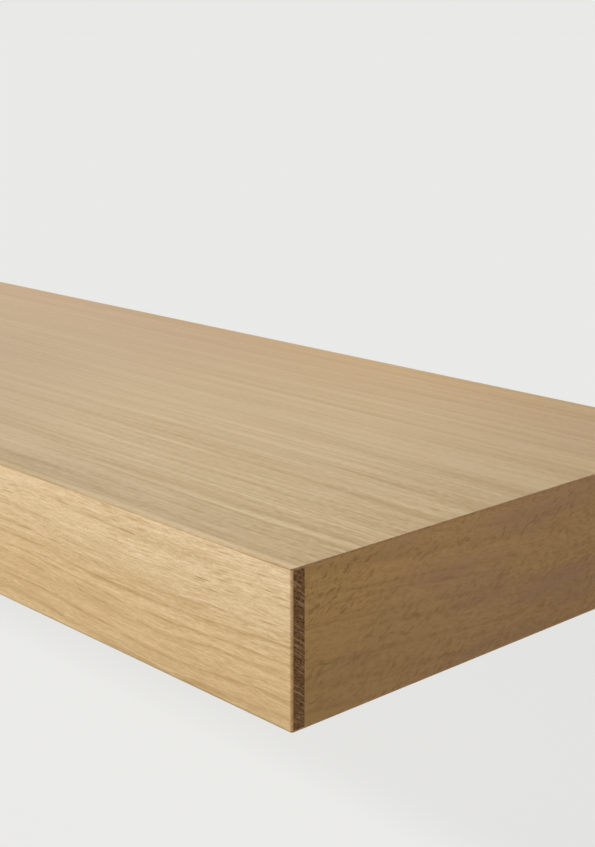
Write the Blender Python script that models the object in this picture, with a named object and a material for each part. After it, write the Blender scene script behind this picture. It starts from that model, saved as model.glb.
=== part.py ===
"""Wall shelf: a hollow box faced with oak that slides onto a steel bracket hidden in its back.

Metres, +Z up. The origin is the middle of the wall plate's back face, which lies on the wall. +X runs along the shelf
to the right as seen from the room, and -Y points from the wall into the room. Left and right are as seen from the room.
"""

import math

import bmesh
import bpy
from mathutils import Matrix, Vector

MM = 0.001

# Outside sizes of the shelf
LENGTH = 500 * MM
DEPTH = 220 * MM
HEIGHT = 50 * MM
FRONT_CORNER_EASING = 1.2 * MM
VENEER_EASING = 0.3 * MM

# Gap between pieces that touch, seat or are glued
SEAT_GAP = 0.3 * MM

# Facings and skins
VENEER_THICKNESS = 0.6 * MM
PANEL_THICKNESS = 6 * MM
FRONT_LIPPING_THICKNESS = 5 * MM
END_LIPPING_THICKNESS = 2 * MM

# Core frame
FRONT_RAIL_THICKNESS = 20 * MM
REAR_RAIL_THICKNESS = 25 * MM
END_RAIL_THICKNESS = 20 * MM
CENTRE_RIB_THICKNESS = 20 * MM
ROD_BLOCK_WIDTH = 34 * MM
DOWEL_DIAMETER = 10 * MM
DOWEL_IN_RAIL = 18 * MM
DOWEL_COVER = 5 * MM
DOWEL_CHAMFER = 1 * MM

# Paper honeycomb
HONEYCOMB_CELL = 26 * MM
HONEYCOMB_WALL = 0.6 * MM

# Bracket
PLATE_THICKNESS = 5 * MM
PLATE_EDGE_ROOM = 3.1 * MM
PLATE_END_ROOM = 17.7 * MM
PLATE_CORNER_RADIUS = 3 * MM
ROD_DIAMETER = 12 * MM
ROD_FROM_END = 110 * MM
ROD_TIP_FROM_FRONT = 65 * MM
ROD_TIP_CHAMFER = 1.5 * MM
ROD_CLEARANCE = 0.4 * MM
BORE_END_ROOM = 5 * MM
WELD_LEG = 3 * MM
WELD_ROOM = 1.5 * MM
SLOT_WIDTH = 7 * MM
SLOT_LENGTH = 16 * MM
OUTER_SLOT_FROM_ROD = 45 * MM
INNER_SLOT_FROM_ROD = 70 * MM

# Set screws and their threaded inserts
SET_SCREW_FROM_WALL = 60 * MM
SET_SCREW_DIAMETER = 6 * MM
SET_SCREW_RECESS = 2.7 * MM
SET_SCREW_POINT_CHAMFER = 1 * MM
SOCKET_ACROSS_FLATS = 3 * MM
SOCKET_DEPTH = 3.5 * MM
INSERT_WALL = 1.7 * MM
INSERT_RECESS = 1.2 * MM
INSERT_TOP_COVER = 3.3 * MM
INSERT_CHAMFER = 0.5 * MM

# Facets of the round pieces
ROD_SIDES = 24
SMALL_SIDES = 20
ARC_STEPS = 6
CORNER_STEPS = 3

# Room that a cutter reaches past the face it opens
CUT_PAST = 2 * MM

# Colours as linear RGB, with roughness and metallic value
OAK_TOP = ((0.55, 0.40, 0.24), 0.5, 0.0)
OAK_FRONT = ((0.62, 0.44, 0.24), 0.5, 0.0)
OAK_END = ((0.48, 0.33, 0.18), 0.5, 0.0)
FIBREBOARD = ((0.36, 0.23, 0.12), 0.8, 0.0)
SOFTWOOD = ((0.68, 0.50, 0.29), 0.7, 0.0)
BEECH = ((0.66, 0.45, 0.27), 0.6, 0.0)
PAPER = ((0.42, 0.29, 0.17), 0.9, 0.0)
POWDER_COAT = ((0.045, 0.046, 0.05), 0.45, 0.0)
BRIGHT_STEEL = ((0.56, 0.57, 0.58), 0.3, 1.0)
WELD_STEEL = ((0.20, 0.19, 0.19), 0.5, 1.0)
BRASS = ((0.72, 0.50, 0.20), 0.35, 1.0)
BLACK_STEEL = ((0.04, 0.04, 0.045), 0.4, 1.0)

# Levels of the layers, measured from the middle of the shelf's height
TOP = HEIGHT / 2
VENEER_INSIDE = TOP - VENEER_THICKNESS
PANEL_OUTSIDE = VENEER_INSIDE - SEAT_GAP
PANEL_INSIDE = PANEL_OUTSIDE - PANEL_THICKNESS
CORE_TOP = PANEL_INSIDE - SEAT_GAP
CORE = (-CORE_TOP, CORE_TOP)

# Places along the length, measured from the middle
END = LENGTH / 2
PANEL_END = END - END_LIPPING_THICKNESS - SEAT_GAP
END_RAIL_INSIDE = PANEL_END - END_RAIL_THICKNESS
RAIL_END = END_RAIL_INSIDE - SEAT_GAP
ROD_X = END - ROD_FROM_END
PLATE_END = END_RAIL_INSIDE - PLATE_END_ROOM

# Places from the wall, which is at zero, to the front
FRONT = -DEPTH
CORE_FRONT = FRONT + FRONT_LIPPING_THICKNESS + SEAT_GAP
FRONT_RAIL = (CORE_FRONT, CORE_FRONT + FRONT_RAIL_THICKNESS)
REAR_RAIL_BACK = -PLATE_THICKNESS - WELD_LEG - WELD_ROOM
REAR_RAIL = (REAR_RAIL_BACK - REAR_RAIL_THICKNESS, REAR_RAIL_BACK)
RIB = (FRONT_RAIL[1] + SEAT_GAP, REAR_RAIL[0] - SEAT_GAP)
ROD_TIP = FRONT + ROD_TIP_FROM_FRONT
BORE_END = ROD_TIP - BORE_END_ROOM

# Round sizes
ROD_RADIUS = ROD_DIAMETER / 2
BORE_RADIUS = ROD_RADIUS + ROD_CLEARANCE
DOWEL_RADIUS = DOWEL_DIAMETER / 2
SET_SCREW_RADIUS = SET_SCREW_DIAMETER / 2
INSERT_BORE_RADIUS = SET_SCREW_RADIUS + SEAT_GAP
INSERT_RADIUS = INSERT_BORE_RADIUS + INSERT_WALL

# Heights of the set screw and its insert
INSERT_BOTTOM = -TOP + INSERT_RECESS
INSERT_TOP = -BORE_RADIUS - INSERT_TOP_COVER
SET_SCREW_TIP = -ROD_RADIUS - SEAT_GAP
SET_SCREW_BOTTOM = -TOP + SET_SCREW_RECESS

SIDES = {"left": -1, "right": 1}


def clear_scene():
    for obj in list(bpy.data.objects):
        bpy.data.objects.remove(obj)


def empty(name, location=(0, 0, 0), parent=None):
    """An empty that carries the pieces of one moving body."""
    holder = bpy.data.objects.new(name, None)
    bpy.context.collection.objects.link(holder)
    holder.location = location
    holder.parent = parent
    return holder


def put(name, bm, parent, finish, location=(0, 0, 0), smooth=False):
    """Turn a bmesh into a named object at its place, with its own material."""
    bmesh.ops.recalc_face_normals(bm, faces=bm.faces)
    mesh = bpy.data.meshes.new(name)
    bm.to_mesh(mesh)
    bm.free()
    if smooth:
        mesh.shade_smooth()
        mesh.set_sharp_from_angle(angle=math.radians(30))
    obj = bpy.data.objects.new(name, mesh)
    bpy.context.collection.objects.link(obj)
    obj.parent = parent
    obj.location = location
    colour, roughness, metallic = finish
    material = bpy.data.materials.new(name)
    material.use_nodes = True
    shader = material.node_tree.nodes["Principled BSDF"]
    shader.inputs["Base Color"].default_value = (*colour, 1)
    shader.inputs["Roughness"].default_value = roughness
    shader.inputs["Metallic"].default_value = metallic
    mesh.materials.append(material)
    return obj


def centre_of(x, y, z):
    return Vector((sum(x) / 2, sum(y) / 2, sum(z) / 2))


def box_mesh(x, y, z):
    """A box about its own centre, from the (low, high) pair of each axis."""
    bm = bmesh.new()
    size = (x[1] - x[0], y[1] - y[0], z[1] - z[0])
    bmesh.ops.create_cube(bm, size=1, matrix=Matrix.Diagonal((*size, 1)))
    return bm


def board(name, x, y, z, parent, finish):
    """A square-edged board between the (low, high) pair of each axis."""
    return put(name, box_mesh(x, y, z), parent, finish, centre_of(x, y, z))


def ease_front_corners(bm, radius):
    """Round the two upright corners at the front."""
    upright = [
        edge
        for edge in bm.edges
        if abs(edge.verts[0].co.z - edge.verts[1].co.z) > radius / 4
        and all(vert.co.y < 0 for vert in edge.verts)
        and abs(edge.verts[0].co.x - edge.verts[1].co.x) < radius / 4
    ]
    bmesh.ops.bevel(
        bm, geom=upright, offset=radius, segments=CORNER_STEPS, profile=0.5, affect="EDGES"
    )


def turned_mesh(profile, sides):
    """A solid turned about Z from (radius, height) points. A profile that leaves the axis is closed into a ring."""
    bm = bmesh.new()
    points = [bm.verts.new((radius, 0, height)) for radius, height in profile]
    edges = [bm.edges.new(pair) for pair in zip(points, points[1:])]
    if profile[0][0] > 0:
        edges.append(bm.edges.new((points[-1], points[0])))
    bmesh.ops.spin(
        bm,
        geom=points + edges,
        cent=(0, 0, 0),
        axis=(0, 0, 1),
        angle=2 * math.pi,
        steps=sides,
        use_merge=True,
    )
    bmesh.ops.remove_doubles(bm, verts=bm.verts, dist=SEAT_GAP / 100)
    return bm


def cylinder_mesh(radius, low, high, sides):
    return turned_mesh([(0, low), (radius, low), (radius, high), (0, high)], sides)


def point_along_y(bm):
    """Turn a mesh made about Z so that its +Z points along -Y, into the room."""
    bmesh.ops.rotate(bm, verts=bm.verts, matrix=Matrix.Rotation(math.radians(90), 3, "X"))
    return bm


def point_along_x(bm, sign):
    """Turn a mesh made about Z so that its +Z points along +X, or along -X where the sign is negative."""
    bmesh.ops.rotate(bm, verts=bm.verts, matrix=Matrix.Rotation(math.radians(sign * 90), 3, "Y"))
    return bm


def add_mesh(target, source, offset=(0, 0, 0)):
    """Copy one bmesh into another at an offset."""
    bmesh.ops.translate(source, verts=source.verts, vec=offset)
    bmesh.ops.recalc_face_normals(source, faces=source.faces)
    copy = bpy.data.meshes.new("copy")
    source.to_mesh(copy)
    source.free()
    target.from_mesh(copy)
    bpy.data.meshes.remove(copy)


def prism_mesh(outline, low, high):
    """A flat outline in X and Z, drawn out along Y between two places."""
    bm = bmesh.new()
    face = bm.faces.new([bm.verts.new((x, low, z)) for x, z in outline])
    drawn = bmesh.ops.extrude_face_region(bm, geom=[face])
    moved = [item for item in drawn["geom"] if isinstance(item, bmesh.types.BMVert)]
    bmesh.ops.translate(bm, verts=moved, vec=(0, high - low, 0))
    return bm


def arc(centre, radius, start, end, steps):
    """Points along an arc, its angles in degrees."""
    angles = [math.radians(start + (end - start) * step / steps) for step in range(steps + 1)]
    return [(centre[0] + radius * math.cos(a), centre[1] + radius * math.sin(a)) for a in angles]


def slot_outline(x, length, width):
    """A slot with round ends, lying along X."""
    radius = width / 2
    reach = length / 2 - radius
    right = arc((x + reach, 0), radius, -90, 90, ARC_STEPS)
    left = arc((x - reach, 0), radius, 90, 270, ARC_STEPS)
    return right + left


def rounded_rectangle(half_length, half_height, radius):
    """A rectangle with round corners about the origin."""
    outline = []
    corners = ((1, 1, 0), (-1, 1, 90), (-1, -1, 180), (1, -1, 270))
    for x_sign, z_sign, start in corners:
        centre = (x_sign * (half_length - radius), z_sign * (half_height - radius))
        outline += arc(centre, radius, start, start + 90, CORNER_STEPS)
    return outline


def cutter(name, bm, parent):
    """A shape that only cuts others."""
    obj = put(name, bm, parent, FIBREBOARD)
    obj.hide_render = True
    obj.display_type = "WIRE"
    return obj


def cut(obj, *cutters):
    for tool in cutters:
        boolean = obj.modifiers.new(tool.name, "BOOLEAN")
        boolean.operation = "DIFFERENCE"
        boolean.solver = "EXACT"
        boolean.object = tool


def rod_bore_cutter(parent):
    """The two bores in the rear rail and the rod blocks that the rods slide in."""
    bm = bmesh.new()
    for sign in SIDES.values():
        bore = cylinder_mesh(BORE_RADIUS, -REAR_RAIL_BACK - CUT_PAST, -BORE_END, ROD_SIDES)
        add_mesh(bm, point_along_y(bore), (sign * ROD_X, 0, 0))
    return cutter("rod_bores", bm, parent)


def dowel_hole_cutter(parent):
    """The holes for the dowels, each running from a rail's end into the end rail beside it."""
    bm = bmesh.new()
    inner = RAIL_END - DOWEL_IN_RAIL - SEAT_GAP
    outer = PANEL_END - DOWEL_COVER
    for sign in SIDES.values():
        for rail in (FRONT_RAIL, REAR_RAIL):
            hole = cylinder_mesh(DOWEL_RADIUS + SEAT_GAP, inner, outer, SMALL_SIDES)
            add_mesh(bm, point_along_x(hole, sign), (0, sum(rail) / 2, 0))
    return cutter("dowel_holes", bm, parent)


def insert_hole_cutter(parent):
    """The stepped holes from the underside up to the rod bores, one for each insert."""
    bm = bmesh.new()
    wide = INSERT_RADIUS + SEAT_GAP
    step = INSERT_TOP + SEAT_GAP
    profile = [(0, -TOP - CUT_PAST), (wide, -TOP - CUT_PAST), (wide, step), (INSERT_BORE_RADIUS, step)]
    profile += [(INSERT_BORE_RADIUS, 0), (0, 0)]
    for sign in SIDES.values():
        add_mesh(bm, turned_mesh(profile, SMALL_SIDES), (sign * ROD_X, -SET_SCREW_FROM_WALL, 0))
    return cutter("insert_holes", bm, parent)


def plate_hole_cutter(parent):
    """The holes in the wall plate: one for each rod and the slots for the wall screws."""
    bm = bmesh.new()
    low = -PLATE_THICKNESS - CUT_PAST
    for sign in SIDES.values():
        seat = cylinder_mesh(ROD_RADIUS + SEAT_GAP, -CUT_PAST, PLATE_THICKNESS + CUT_PAST, ROD_SIDES)
        add_mesh(bm, point_along_y(seat), (sign * ROD_X, 0, 0))
        for away in (OUTER_SLOT_FROM_ROD, -INNER_SLOT_FROM_ROD):
            outline = slot_outline(sign * (ROD_X + away), SLOT_LENGTH, SLOT_WIDTH)
            add_mesh(bm, prism_mesh(outline, low, CUT_PAST))
    return cutter("plate_holes", bm, parent)


def make_wall_plate(bracket):
    half_height = PANEL_INSIDE - PLATE_EDGE_ROOM
    outline = rounded_rectangle(PLATE_END, half_height, PLATE_CORNER_RADIUS)
    plate = put("wall_plate", prism_mesh(outline, -PLATE_THICKNESS, 0), bracket, POWDER_COAT)
    cut(plate, plate_hole_cutter(bracket))


def make_rod(side, bracket):
    """A rod through the plate, flush with its back, and chamfered at the tip."""
    tip = -ROD_TIP
    profile = [(0, 0), (ROD_RADIUS, 0), (ROD_RADIUS, tip - ROD_TIP_CHAMFER)]
    profile += [(ROD_RADIUS - ROD_TIP_CHAMFER, tip), (0, tip)]
    bm = point_along_y(turned_mesh(profile, ROD_SIDES))
    put(f"{side}_rod", bm, bracket, BRIGHT_STEEL, (SIDES[side] * ROD_X, 0, 0), smooth=True)


def make_weld(side, bracket):
    """A fillet weld round the root of a rod, its face a little hollow."""
    inner = ROD_RADIUS + SEAT_GAP
    base = PLATE_THICKNESS + SEAT_GAP
    hollow = WELD_LEG * 0.4
    profile = [(inner, base), (inner + WELD_LEG, base), (inner + hollow, base + hollow), (inner, base + WELD_LEG)]
    bm = point_along_y(turned_mesh(profile, ROD_SIDES))
    put(f"{side}_weld", bm, bracket, WELD_STEEL, (SIDES[side] * ROD_X, 0, 0), smooth=True)


def make_veneer(name, z, outer_face, shelf):
    """A veneer over the whole top or underside, its outer arris eased."""
    x = (-END, END)
    y = (FRONT, 0)
    bm = box_mesh(x, y, z)
    ease_front_corners(bm, FRONT_CORNER_EASING)
    outer = outer_face * VENEER_THICKNESS / 2
    rim = [edge for edge in bm.edges if all(abs(vert.co.z - outer) < SEAT_GAP / 10 for vert in edge.verts)]
    bmesh.ops.bevel(bm, geom=rim, offset=VENEER_EASING, segments=1, profile=0.5, affect="EDGES")
    return put(name, bm, shelf, OAK_TOP, centre_of(x, y, z))


def make_front_lipping(shelf):
    x = (-END, END)
    y = (FRONT, FRONT + FRONT_LIPPING_THICKNESS)
    z = (-PANEL_OUTSIDE, PANEL_OUTSIDE)
    bm = box_mesh(x, y, z)
    ease_front_corners(bm, FRONT_CORNER_EASING)
    put("front_lipping", bm, shelf, OAK_FRONT, centre_of(x, y, z))


def make_end_lipping(side, shelf):
    x = sorted((SIDES[side] * END, SIDES[side] * (END - END_LIPPING_THICKNESS)))
    board(f"{side}_end_lipping", x, (CORE_FRONT, 0), (-PANEL_OUTSIDE, PANEL_OUTSIDE), shelf, OAK_END)


def make_facings(shelf, insert_holes):
    make_veneer("top_veneer", (VENEER_INSIDE, TOP), 1, shelf)
    underside = make_veneer("bottom_veneer", (-TOP, -VENEER_INSIDE), -1, shelf)
    cut(underside, insert_holes)
    make_front_lipping(shelf)
    for side in SIDES:
        make_end_lipping(side, shelf)


def make_panels(shelf, insert_holes):
    x = (-PANEL_END, PANEL_END)
    y = (CORE_FRONT, 0)
    board("top_panel", x, y, (PANEL_INSIDE, PANEL_OUTSIDE), shelf, FIBREBOARD)
    bottom = board("bottom_panel", x, y, (-PANEL_OUTSIDE, -PANEL_INSIDE), shelf, FIBREBOARD)
    cut(bottom, insert_holes)


def make_frame(shelf, rod_bores, insert_holes):
    """The softwood frame: four rails round the edge, a block round each rod and a rib in the middle."""
    dowel_holes = dowel_hole_cutter(shelf)
    along = (-RAIL_END, RAIL_END)
    front = board("front_rail", along, FRONT_RAIL, CORE, shelf, SOFTWOOD)
    rear = board("rear_rail", along, REAR_RAIL, CORE, shelf, SOFTWOOD)
    cut(front, dowel_holes)
    cut(rear, dowel_holes, rod_bores)
    for side, sign in SIDES.items():
        x = sorted((sign * END_RAIL_INSIDE, sign * PANEL_END))
        end_rail = board(f"{side}_end_rail", x, (CORE_FRONT, 0), CORE, shelf, SOFTWOOD)
        cut(end_rail, dowel_holes)
        x = (sign * ROD_X - ROD_BLOCK_WIDTH / 2, sign * ROD_X + ROD_BLOCK_WIDTH / 2)
        block = board(f"{side}_rod_block", x, RIB, CORE, shelf, SOFTWOOD)
        cut(block, rod_bores, insert_holes)
    x = (-CENTRE_RIB_THICKNESS / 2, CENTRE_RIB_THICKNESS / 2)
    board("centre_rib", x, RIB, CORE, shelf, SOFTWOOD)


def make_dowels(shelf):
    """A dowel across each corner joint of the frame."""
    inner = RAIL_END - DOWEL_IN_RAIL
    outer = PANEL_END - DOWEL_COVER - SEAT_GAP
    neck = DOWEL_RADIUS - DOWEL_CHAMFER
    profile = [(0, inner), (neck, inner), (DOWEL_RADIUS, inner + DOWEL_CHAMFER)]
    profile += [(DOWEL_RADIUS, outer - DOWEL_CHAMFER), (neck, outer), (0, outer)]
    for side, sign in SIDES.items():
        for place, rail in (("front", FRONT_RAIL), ("rear", REAR_RAIL)):
            bm = point_along_x(turned_mesh(profile, SMALL_SIDES), sign)
            put(f"{place}_{side}_dowel", bm, shelf, BEECH, (0, sum(rail) / 2, 0), smooth=True)


def hexagon_lattice(columns, rows):
    """Corner points and walls of full cells, one unit wide, every other row shifted by half a cell."""
    points = {}
    walls = set()
    reach = 1 / math.sqrt(3)
    for row in range(rows):
        for column in range(columns):
            centre = (column + 0.5 * (row % 2), row * 1.5 * reach)
            corners = [(x, y) for x, y in arc(centre, reach, 30, 390, 6)][:6]
            keys = [(round(x * 4), round(y * 8)) for x, y in corners]
            points.update(zip(keys, corners))
            walls.update(frozenset(pair) for pair in zip(keys, keys[1:] + keys[:1]))
    return points, walls


def stretched(points, x, y):
    """The lattice stretched to fill a bay, as the paper is when it is pulled open."""
    lows = [min(point[k] for point in points.values()) for k in (0, 1)]
    highs = [max(point[k] for point in points.values()) for k in (0, 1)]
    places = {}
    for key, point in points.items():
        shares = [(point[k] - lows[k]) / (highs[k] - lows[k]) for k in (0, 1)]
        places[key] = Vector((x[0] + shares[0] * (x[1] - x[0]), y[0] + shares[1] * (y[1] - y[0])))
    return places


def wall_corners(place, neighbours, half_wall):
    """Where the faces of the walls that meet at a point cross, one corner between each wall and the next."""
    corners = []
    for first, second in zip(neighbours, neighbours[1:] + neighbours[:1]):
        u = (first - place).normalized()
        v = (second - place).normalized()
        corners.append(place + (u + v) * half_wall / u.cross(v))
    return corners


def honeycomb_mesh(x, y, z):
    """A paper core of hexagonal cells that fills a bay from rail to rail and from panel to panel."""
    half_wall = HONEYCOMB_WALL / 2
    columns = max(1, round((x[1] - x[0]) / HONEYCOMB_CELL - 0.5))
    rows = max(2, round((y[1] - y[0]) / (HONEYCOMB_CELL * math.sqrt(3) / 2) - 1 / 3))
    points, walls = hexagon_lattice(columns, rows)
    margin = half_wall * 2 / math.sqrt(3)
    places = stretched(points, (x[0] + margin, x[1] - margin), (y[0] + margin, y[1] - margin))

    bm = bmesh.new()
    order = {}
    corners = {}
    for key in sorted(places):
        place = places[key]
        others = [other for wall in walls if key in wall for other in wall if other != key]
        others.sort(key=lambda other: math.atan2(*(places[other] - place).yx))
        order[key] = others
        spots = wall_corners(place, [places[other] for other in others], half_wall)
        corners[key] = [bm.verts.new((spot.x, spot.y, z[0])) for spot in spots]
        if len(others) > 2:
            bm.faces.new(corners[key])
    for start, end in sorted(sorted(wall) for wall in walls):
        here = order[start].index(end)
        there = order[end].index(start)
        bm.faces.new(
            (
                corners[start][here - 1],
                corners[end][there],
                corners[end][there - 1],
                corners[start][here],
            )
        )
    drawn = bmesh.ops.extrude_face_region(bm, geom=bm.faces[:])
    moved = [item for item in drawn["geom"] if isinstance(item, bmesh.types.BMVert)]
    bmesh.ops.translate(bm, verts=moved, vec=(0, 0, z[1] - z[0]))
    return bm


def make_honeycombs(shelf):
    """A paper core in each of the four bays between the end rails, the rod blocks and the rib."""
    block_outside = ROD_X + ROD_BLOCK_WIDTH / 2 + SEAT_GAP
    block_inside = ROD_X - ROD_BLOCK_WIDTH / 2 - SEAT_GAP
    bays = {
        "outer": (block_outside, END_RAIL_INSIDE - SEAT_GAP),
        "inner": (CENTRE_RIB_THICKNESS / 2 + SEAT_GAP, block_inside),
    }
    y = (RIB[0] + SEAT_GAP, RIB[1] - SEAT_GAP)
    for side, sign in SIDES.items():
        for place, bay in bays.items():
            x = sorted(sign * edge for edge in bay)
            put(f"{side}_{place}_honeycomb", honeycomb_mesh(x, y, CORE), shelf, PAPER)


def make_insert(side, shelf):
    """A threaded insert in the rod block, open at both ends."""
    edge = INSERT_RADIUS - INSERT_CHAMFER
    profile = [(INSERT_BORE_RADIUS, INSERT_BOTTOM), (edge, INSERT_BOTTOM)]
    profile += [(INSERT_RADIUS, INSERT_BOTTOM + INSERT_CHAMFER), (INSERT_RADIUS, INSERT_TOP - INSERT_CHAMFER)]
    profile += [(edge, INSERT_TOP), (INSERT_BORE_RADIUS, INSERT_TOP)]
    location = (SIDES[side] * ROD_X, -SET_SCREW_FROM_WALL, 0)
    put(f"{side}_insert", turned_mesh(profile, SMALL_SIDES), shelf, BRASS, location, smooth=True)


def make_set_screw(side, shelf):
    """A headless screw with a flat point on the rod and a hexagon socket in its lower end."""
    axis = empty(f"{side}_set_screw_axis", (SIDES[side] * ROD_X, -SET_SCREW_FROM_WALL, 0), shelf)
    neck = SET_SCREW_RADIUS - SET_SCREW_POINT_CHAMFER
    profile = [(0, SET_SCREW_BOTTOM), (SET_SCREW_RADIUS, SET_SCREW_BOTTOM)]
    profile += [(SET_SCREW_RADIUS, SET_SCREW_TIP - SET_SCREW_POINT_CHAMFER), (neck, SET_SCREW_TIP)]
    profile += [(0, SET_SCREW_TIP)]
    screw = put(f"{side}_set_screw", turned_mesh(profile, SMALL_SIDES), axis, BLACK_STEEL, smooth=True)
    corner_radius = SOCKET_ACROSS_FLATS / math.sqrt(3)
    socket = cylinder_mesh(corner_radius, SET_SCREW_BOTTOM - CUT_PAST, SET_SCREW_BOTTOM + SOCKET_DEPTH, 6)
    cut(screw, cutter(f"{side}_socket", socket, axis))


def main():
    clear_scene()
    bracket = empty("bracket")
    make_wall_plate(bracket)
    for side in SIDES:
        make_rod(side, bracket)
        make_weld(side, bracket)

    shelf = empty("shelf")
    rod_bores = rod_bore_cutter(shelf)
    insert_holes = insert_hole_cutter(shelf)
    make_facings(shelf, insert_holes)
    make_panels(shelf, insert_holes)
    make_frame(shelf, rod_bores, insert_holes)
    make_dowels(shelf)
    make_honeycombs(shelf)
    for side in SIDES:
        make_insert(side, shelf)
        make_set_screw(side, shelf)


main()
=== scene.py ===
"""Looks of the wall shelf: an oak-faced hollow shelf on a steel rod bracket.

Metres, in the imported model's frame: the origin is the middle of the wall plate's back face, +X runs along
the shelf to the right, -Y points from the wall into the room and +Z is up. Inside the materials, lengths
are in millimetres and angles in degrees.
"""

import math
import random
from contextlib import contextmanager
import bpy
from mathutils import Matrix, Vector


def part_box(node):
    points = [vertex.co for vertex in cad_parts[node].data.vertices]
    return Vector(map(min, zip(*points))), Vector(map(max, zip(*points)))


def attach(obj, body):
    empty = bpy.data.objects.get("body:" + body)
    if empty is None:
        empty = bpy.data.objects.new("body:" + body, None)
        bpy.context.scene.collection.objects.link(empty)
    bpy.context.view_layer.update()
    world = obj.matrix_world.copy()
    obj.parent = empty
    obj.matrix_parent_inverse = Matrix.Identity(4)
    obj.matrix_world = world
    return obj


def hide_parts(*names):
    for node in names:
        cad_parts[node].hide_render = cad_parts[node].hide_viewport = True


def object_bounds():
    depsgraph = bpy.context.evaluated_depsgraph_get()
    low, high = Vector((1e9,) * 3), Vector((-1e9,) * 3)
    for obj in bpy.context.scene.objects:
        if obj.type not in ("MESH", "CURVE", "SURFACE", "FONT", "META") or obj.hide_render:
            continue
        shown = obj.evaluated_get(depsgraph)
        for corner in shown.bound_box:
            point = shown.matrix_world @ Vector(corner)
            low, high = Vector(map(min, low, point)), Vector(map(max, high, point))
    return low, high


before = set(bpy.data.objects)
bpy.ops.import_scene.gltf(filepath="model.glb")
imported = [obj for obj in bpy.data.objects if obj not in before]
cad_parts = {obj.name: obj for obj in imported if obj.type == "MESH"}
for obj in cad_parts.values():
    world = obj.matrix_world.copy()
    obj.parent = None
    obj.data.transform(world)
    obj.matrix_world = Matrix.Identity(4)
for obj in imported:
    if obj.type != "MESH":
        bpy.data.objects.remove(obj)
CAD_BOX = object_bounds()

from types import SimpleNamespace

import bmesh
import bpy
from bpy.props import FloatProperty, FloatVectorProperty, IntProperty, PointerProperty
from bpy.types import Operator, Panel, PropertyGroup
from mathutils import Vector

bl_info = {
    "name": "Oak Wall Shelf",
    "version": (1, 0, 0),
    "blender": (4, 5, 0),
    "location": "3D View > Sidebar > Wall Shelf",
    "description": "Models and finishes an oak-faced wall shelf and its hidden steel bracket",
    "category": "Object",
}

MM = 0.001
SIDES = {"left": -1, "right": 1}

# Places nearer than this count as the same
SAME_PLACE = 0.01 * MM

# How far a cutter reaches past what it cuts
CUT_PAST = 1 * MM

# Flats round each kind of round piece
HOLE_SIDES = 40
THREAD_SIDES = 36
FIXING_SIDES = 48
ROD_HOLE_SIDES = 64
ROD_SIDES = 72

# Corners of a thread's outline: the height, as a share of the pitch, and whether it lies on the crest
THREAD_OUTLINE = ((0, False), (0.1, False), (0.47, True), (0.63, True), (1, False))

# A weld's ripples: size, how much it varies and height on the rod, as shares of the leg, then thickness
RIPPLE_SIZE = 0.86
RIPPLE_SPREAD = 0.08
RIPPLE_SEAT = 0.1
RIPPLE_THICKNESS = 0.55


def set_all(thing, settings):
    """Set a thing's attributes by name."""
    for name, value in settings.items():
        setattr(thing, name, value)


# Nodes of a material


def maths(operation, reflected=False):
    """A method of a wire that adds a Math node. In a reflected one the wire comes second."""

    def act(wire, *others):
        values = (*others, wire) if reflected else (wire, *others)
        return wire.graph.math(operation, *values)

    return act


class Wire:
    """An output socket of a node. Arithmetic on it adds Math nodes."""

    def __init__(self, graph, socket):
        self.graph = graph
        self.socket = socket

    def beside(self, name):
        """Another output of the same node."""
        return Wire(self.graph, self.socket.node.outputs[name])

    __add__ = maths("ADD")
    __radd__ = maths("ADD", reflected=True)
    __sub__ = maths("SUBTRACT")
    __rsub__ = maths("SUBTRACT", reflected=True)
    __mul__ = maths("MULTIPLY")
    __rmul__ = maths("MULTIPLY", reflected=True)
    __truediv__ = maths("DIVIDE")
    __abs__ = maths("ABSOLUTE")
    fraction = maths("FRACT")
    whole = maths("FLOOR")


class Graph:
    """A node tree to which nodes are added."""

    def __init__(self, tree):
        self.nodes = tree.nodes
        self.links = tree.links

    def fill(self, node, inputs):
        """Give a node's sockets, by name or number, their links or values."""
        for key, value in inputs.items():
            socket = node.inputs[key]
            if isinstance(value, Wire):
                self.links.new(value.socket, socket)
            elif socket.type == "RGBA":
                socket.default_value = (*value[:3], 1)
            else:
                socket.default_value = value

    def node(self, kind, inputs=None, output=0, **settings):
        """Add a node. Its settings are set first, then the values or links of its inputs."""
        made = self.nodes.new(kind)
        set_all(made, settings)
        self.fill(made, inputs or {})
        return Wire(self, made.outputs[output])

    def math(self, operation, *values):
        return self.node("ShaderNodeMath", dict(enumerate(values)), operation=operation)

    def vector(self, x, y, z):
        return self.node("ShaderNodeCombineXYZ", {0: x, 1: y, 2: z})

    def mix(self, factor, first, second, blend="MIX"):
        """Blend two colours."""
        inputs = {0: factor, 6: first, 7: second}
        return self.node("ShaderNodeMix", inputs, output=2, data_type="RGBA", blend_type=blend)

    def ease(self, value, start, end):
        """A smooth step from 0 at start to 1 at end. Start may be the larger of the two."""
        inputs = {0: value, 1: start, 2: end}
        return self.node("ShaderNodeMapRange", inputs, interpolation_type="SMOOTHSTEP")

    def lay(self, under, over, value, start, end, share=1):
        """Lay one colour over another, up to a share, as a value goes from start to end."""
        return self.mix(self.ease(value, start, end) * share, under, over)

    def noise(self, x, y=0, z=0, detail=2.0, roughness=0.5):
        """Soft noise from 0 to 1, its middle at 0.5."""
        inputs = {"Vector": self.vector(x, y, z), "Scale": 1, "Detail": detail, "Roughness": roughness}
        return self.node("ShaderNodeTexNoise", inputs)

    def cells(self, x, y, z):
        """Distance to the nearest of many scattered points, about one to a unit cube."""
        return self.node("ShaderNodeTexVoronoi", {"Vector": self.vector(x, y, z), "Scale": 1})

    def chance(self, value):
        """A random number from 0 to 1 for each value."""
        return self.node("ShaderNodeTexWhiteNoise", {"W": value}, noise_dimensions="1D")


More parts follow.
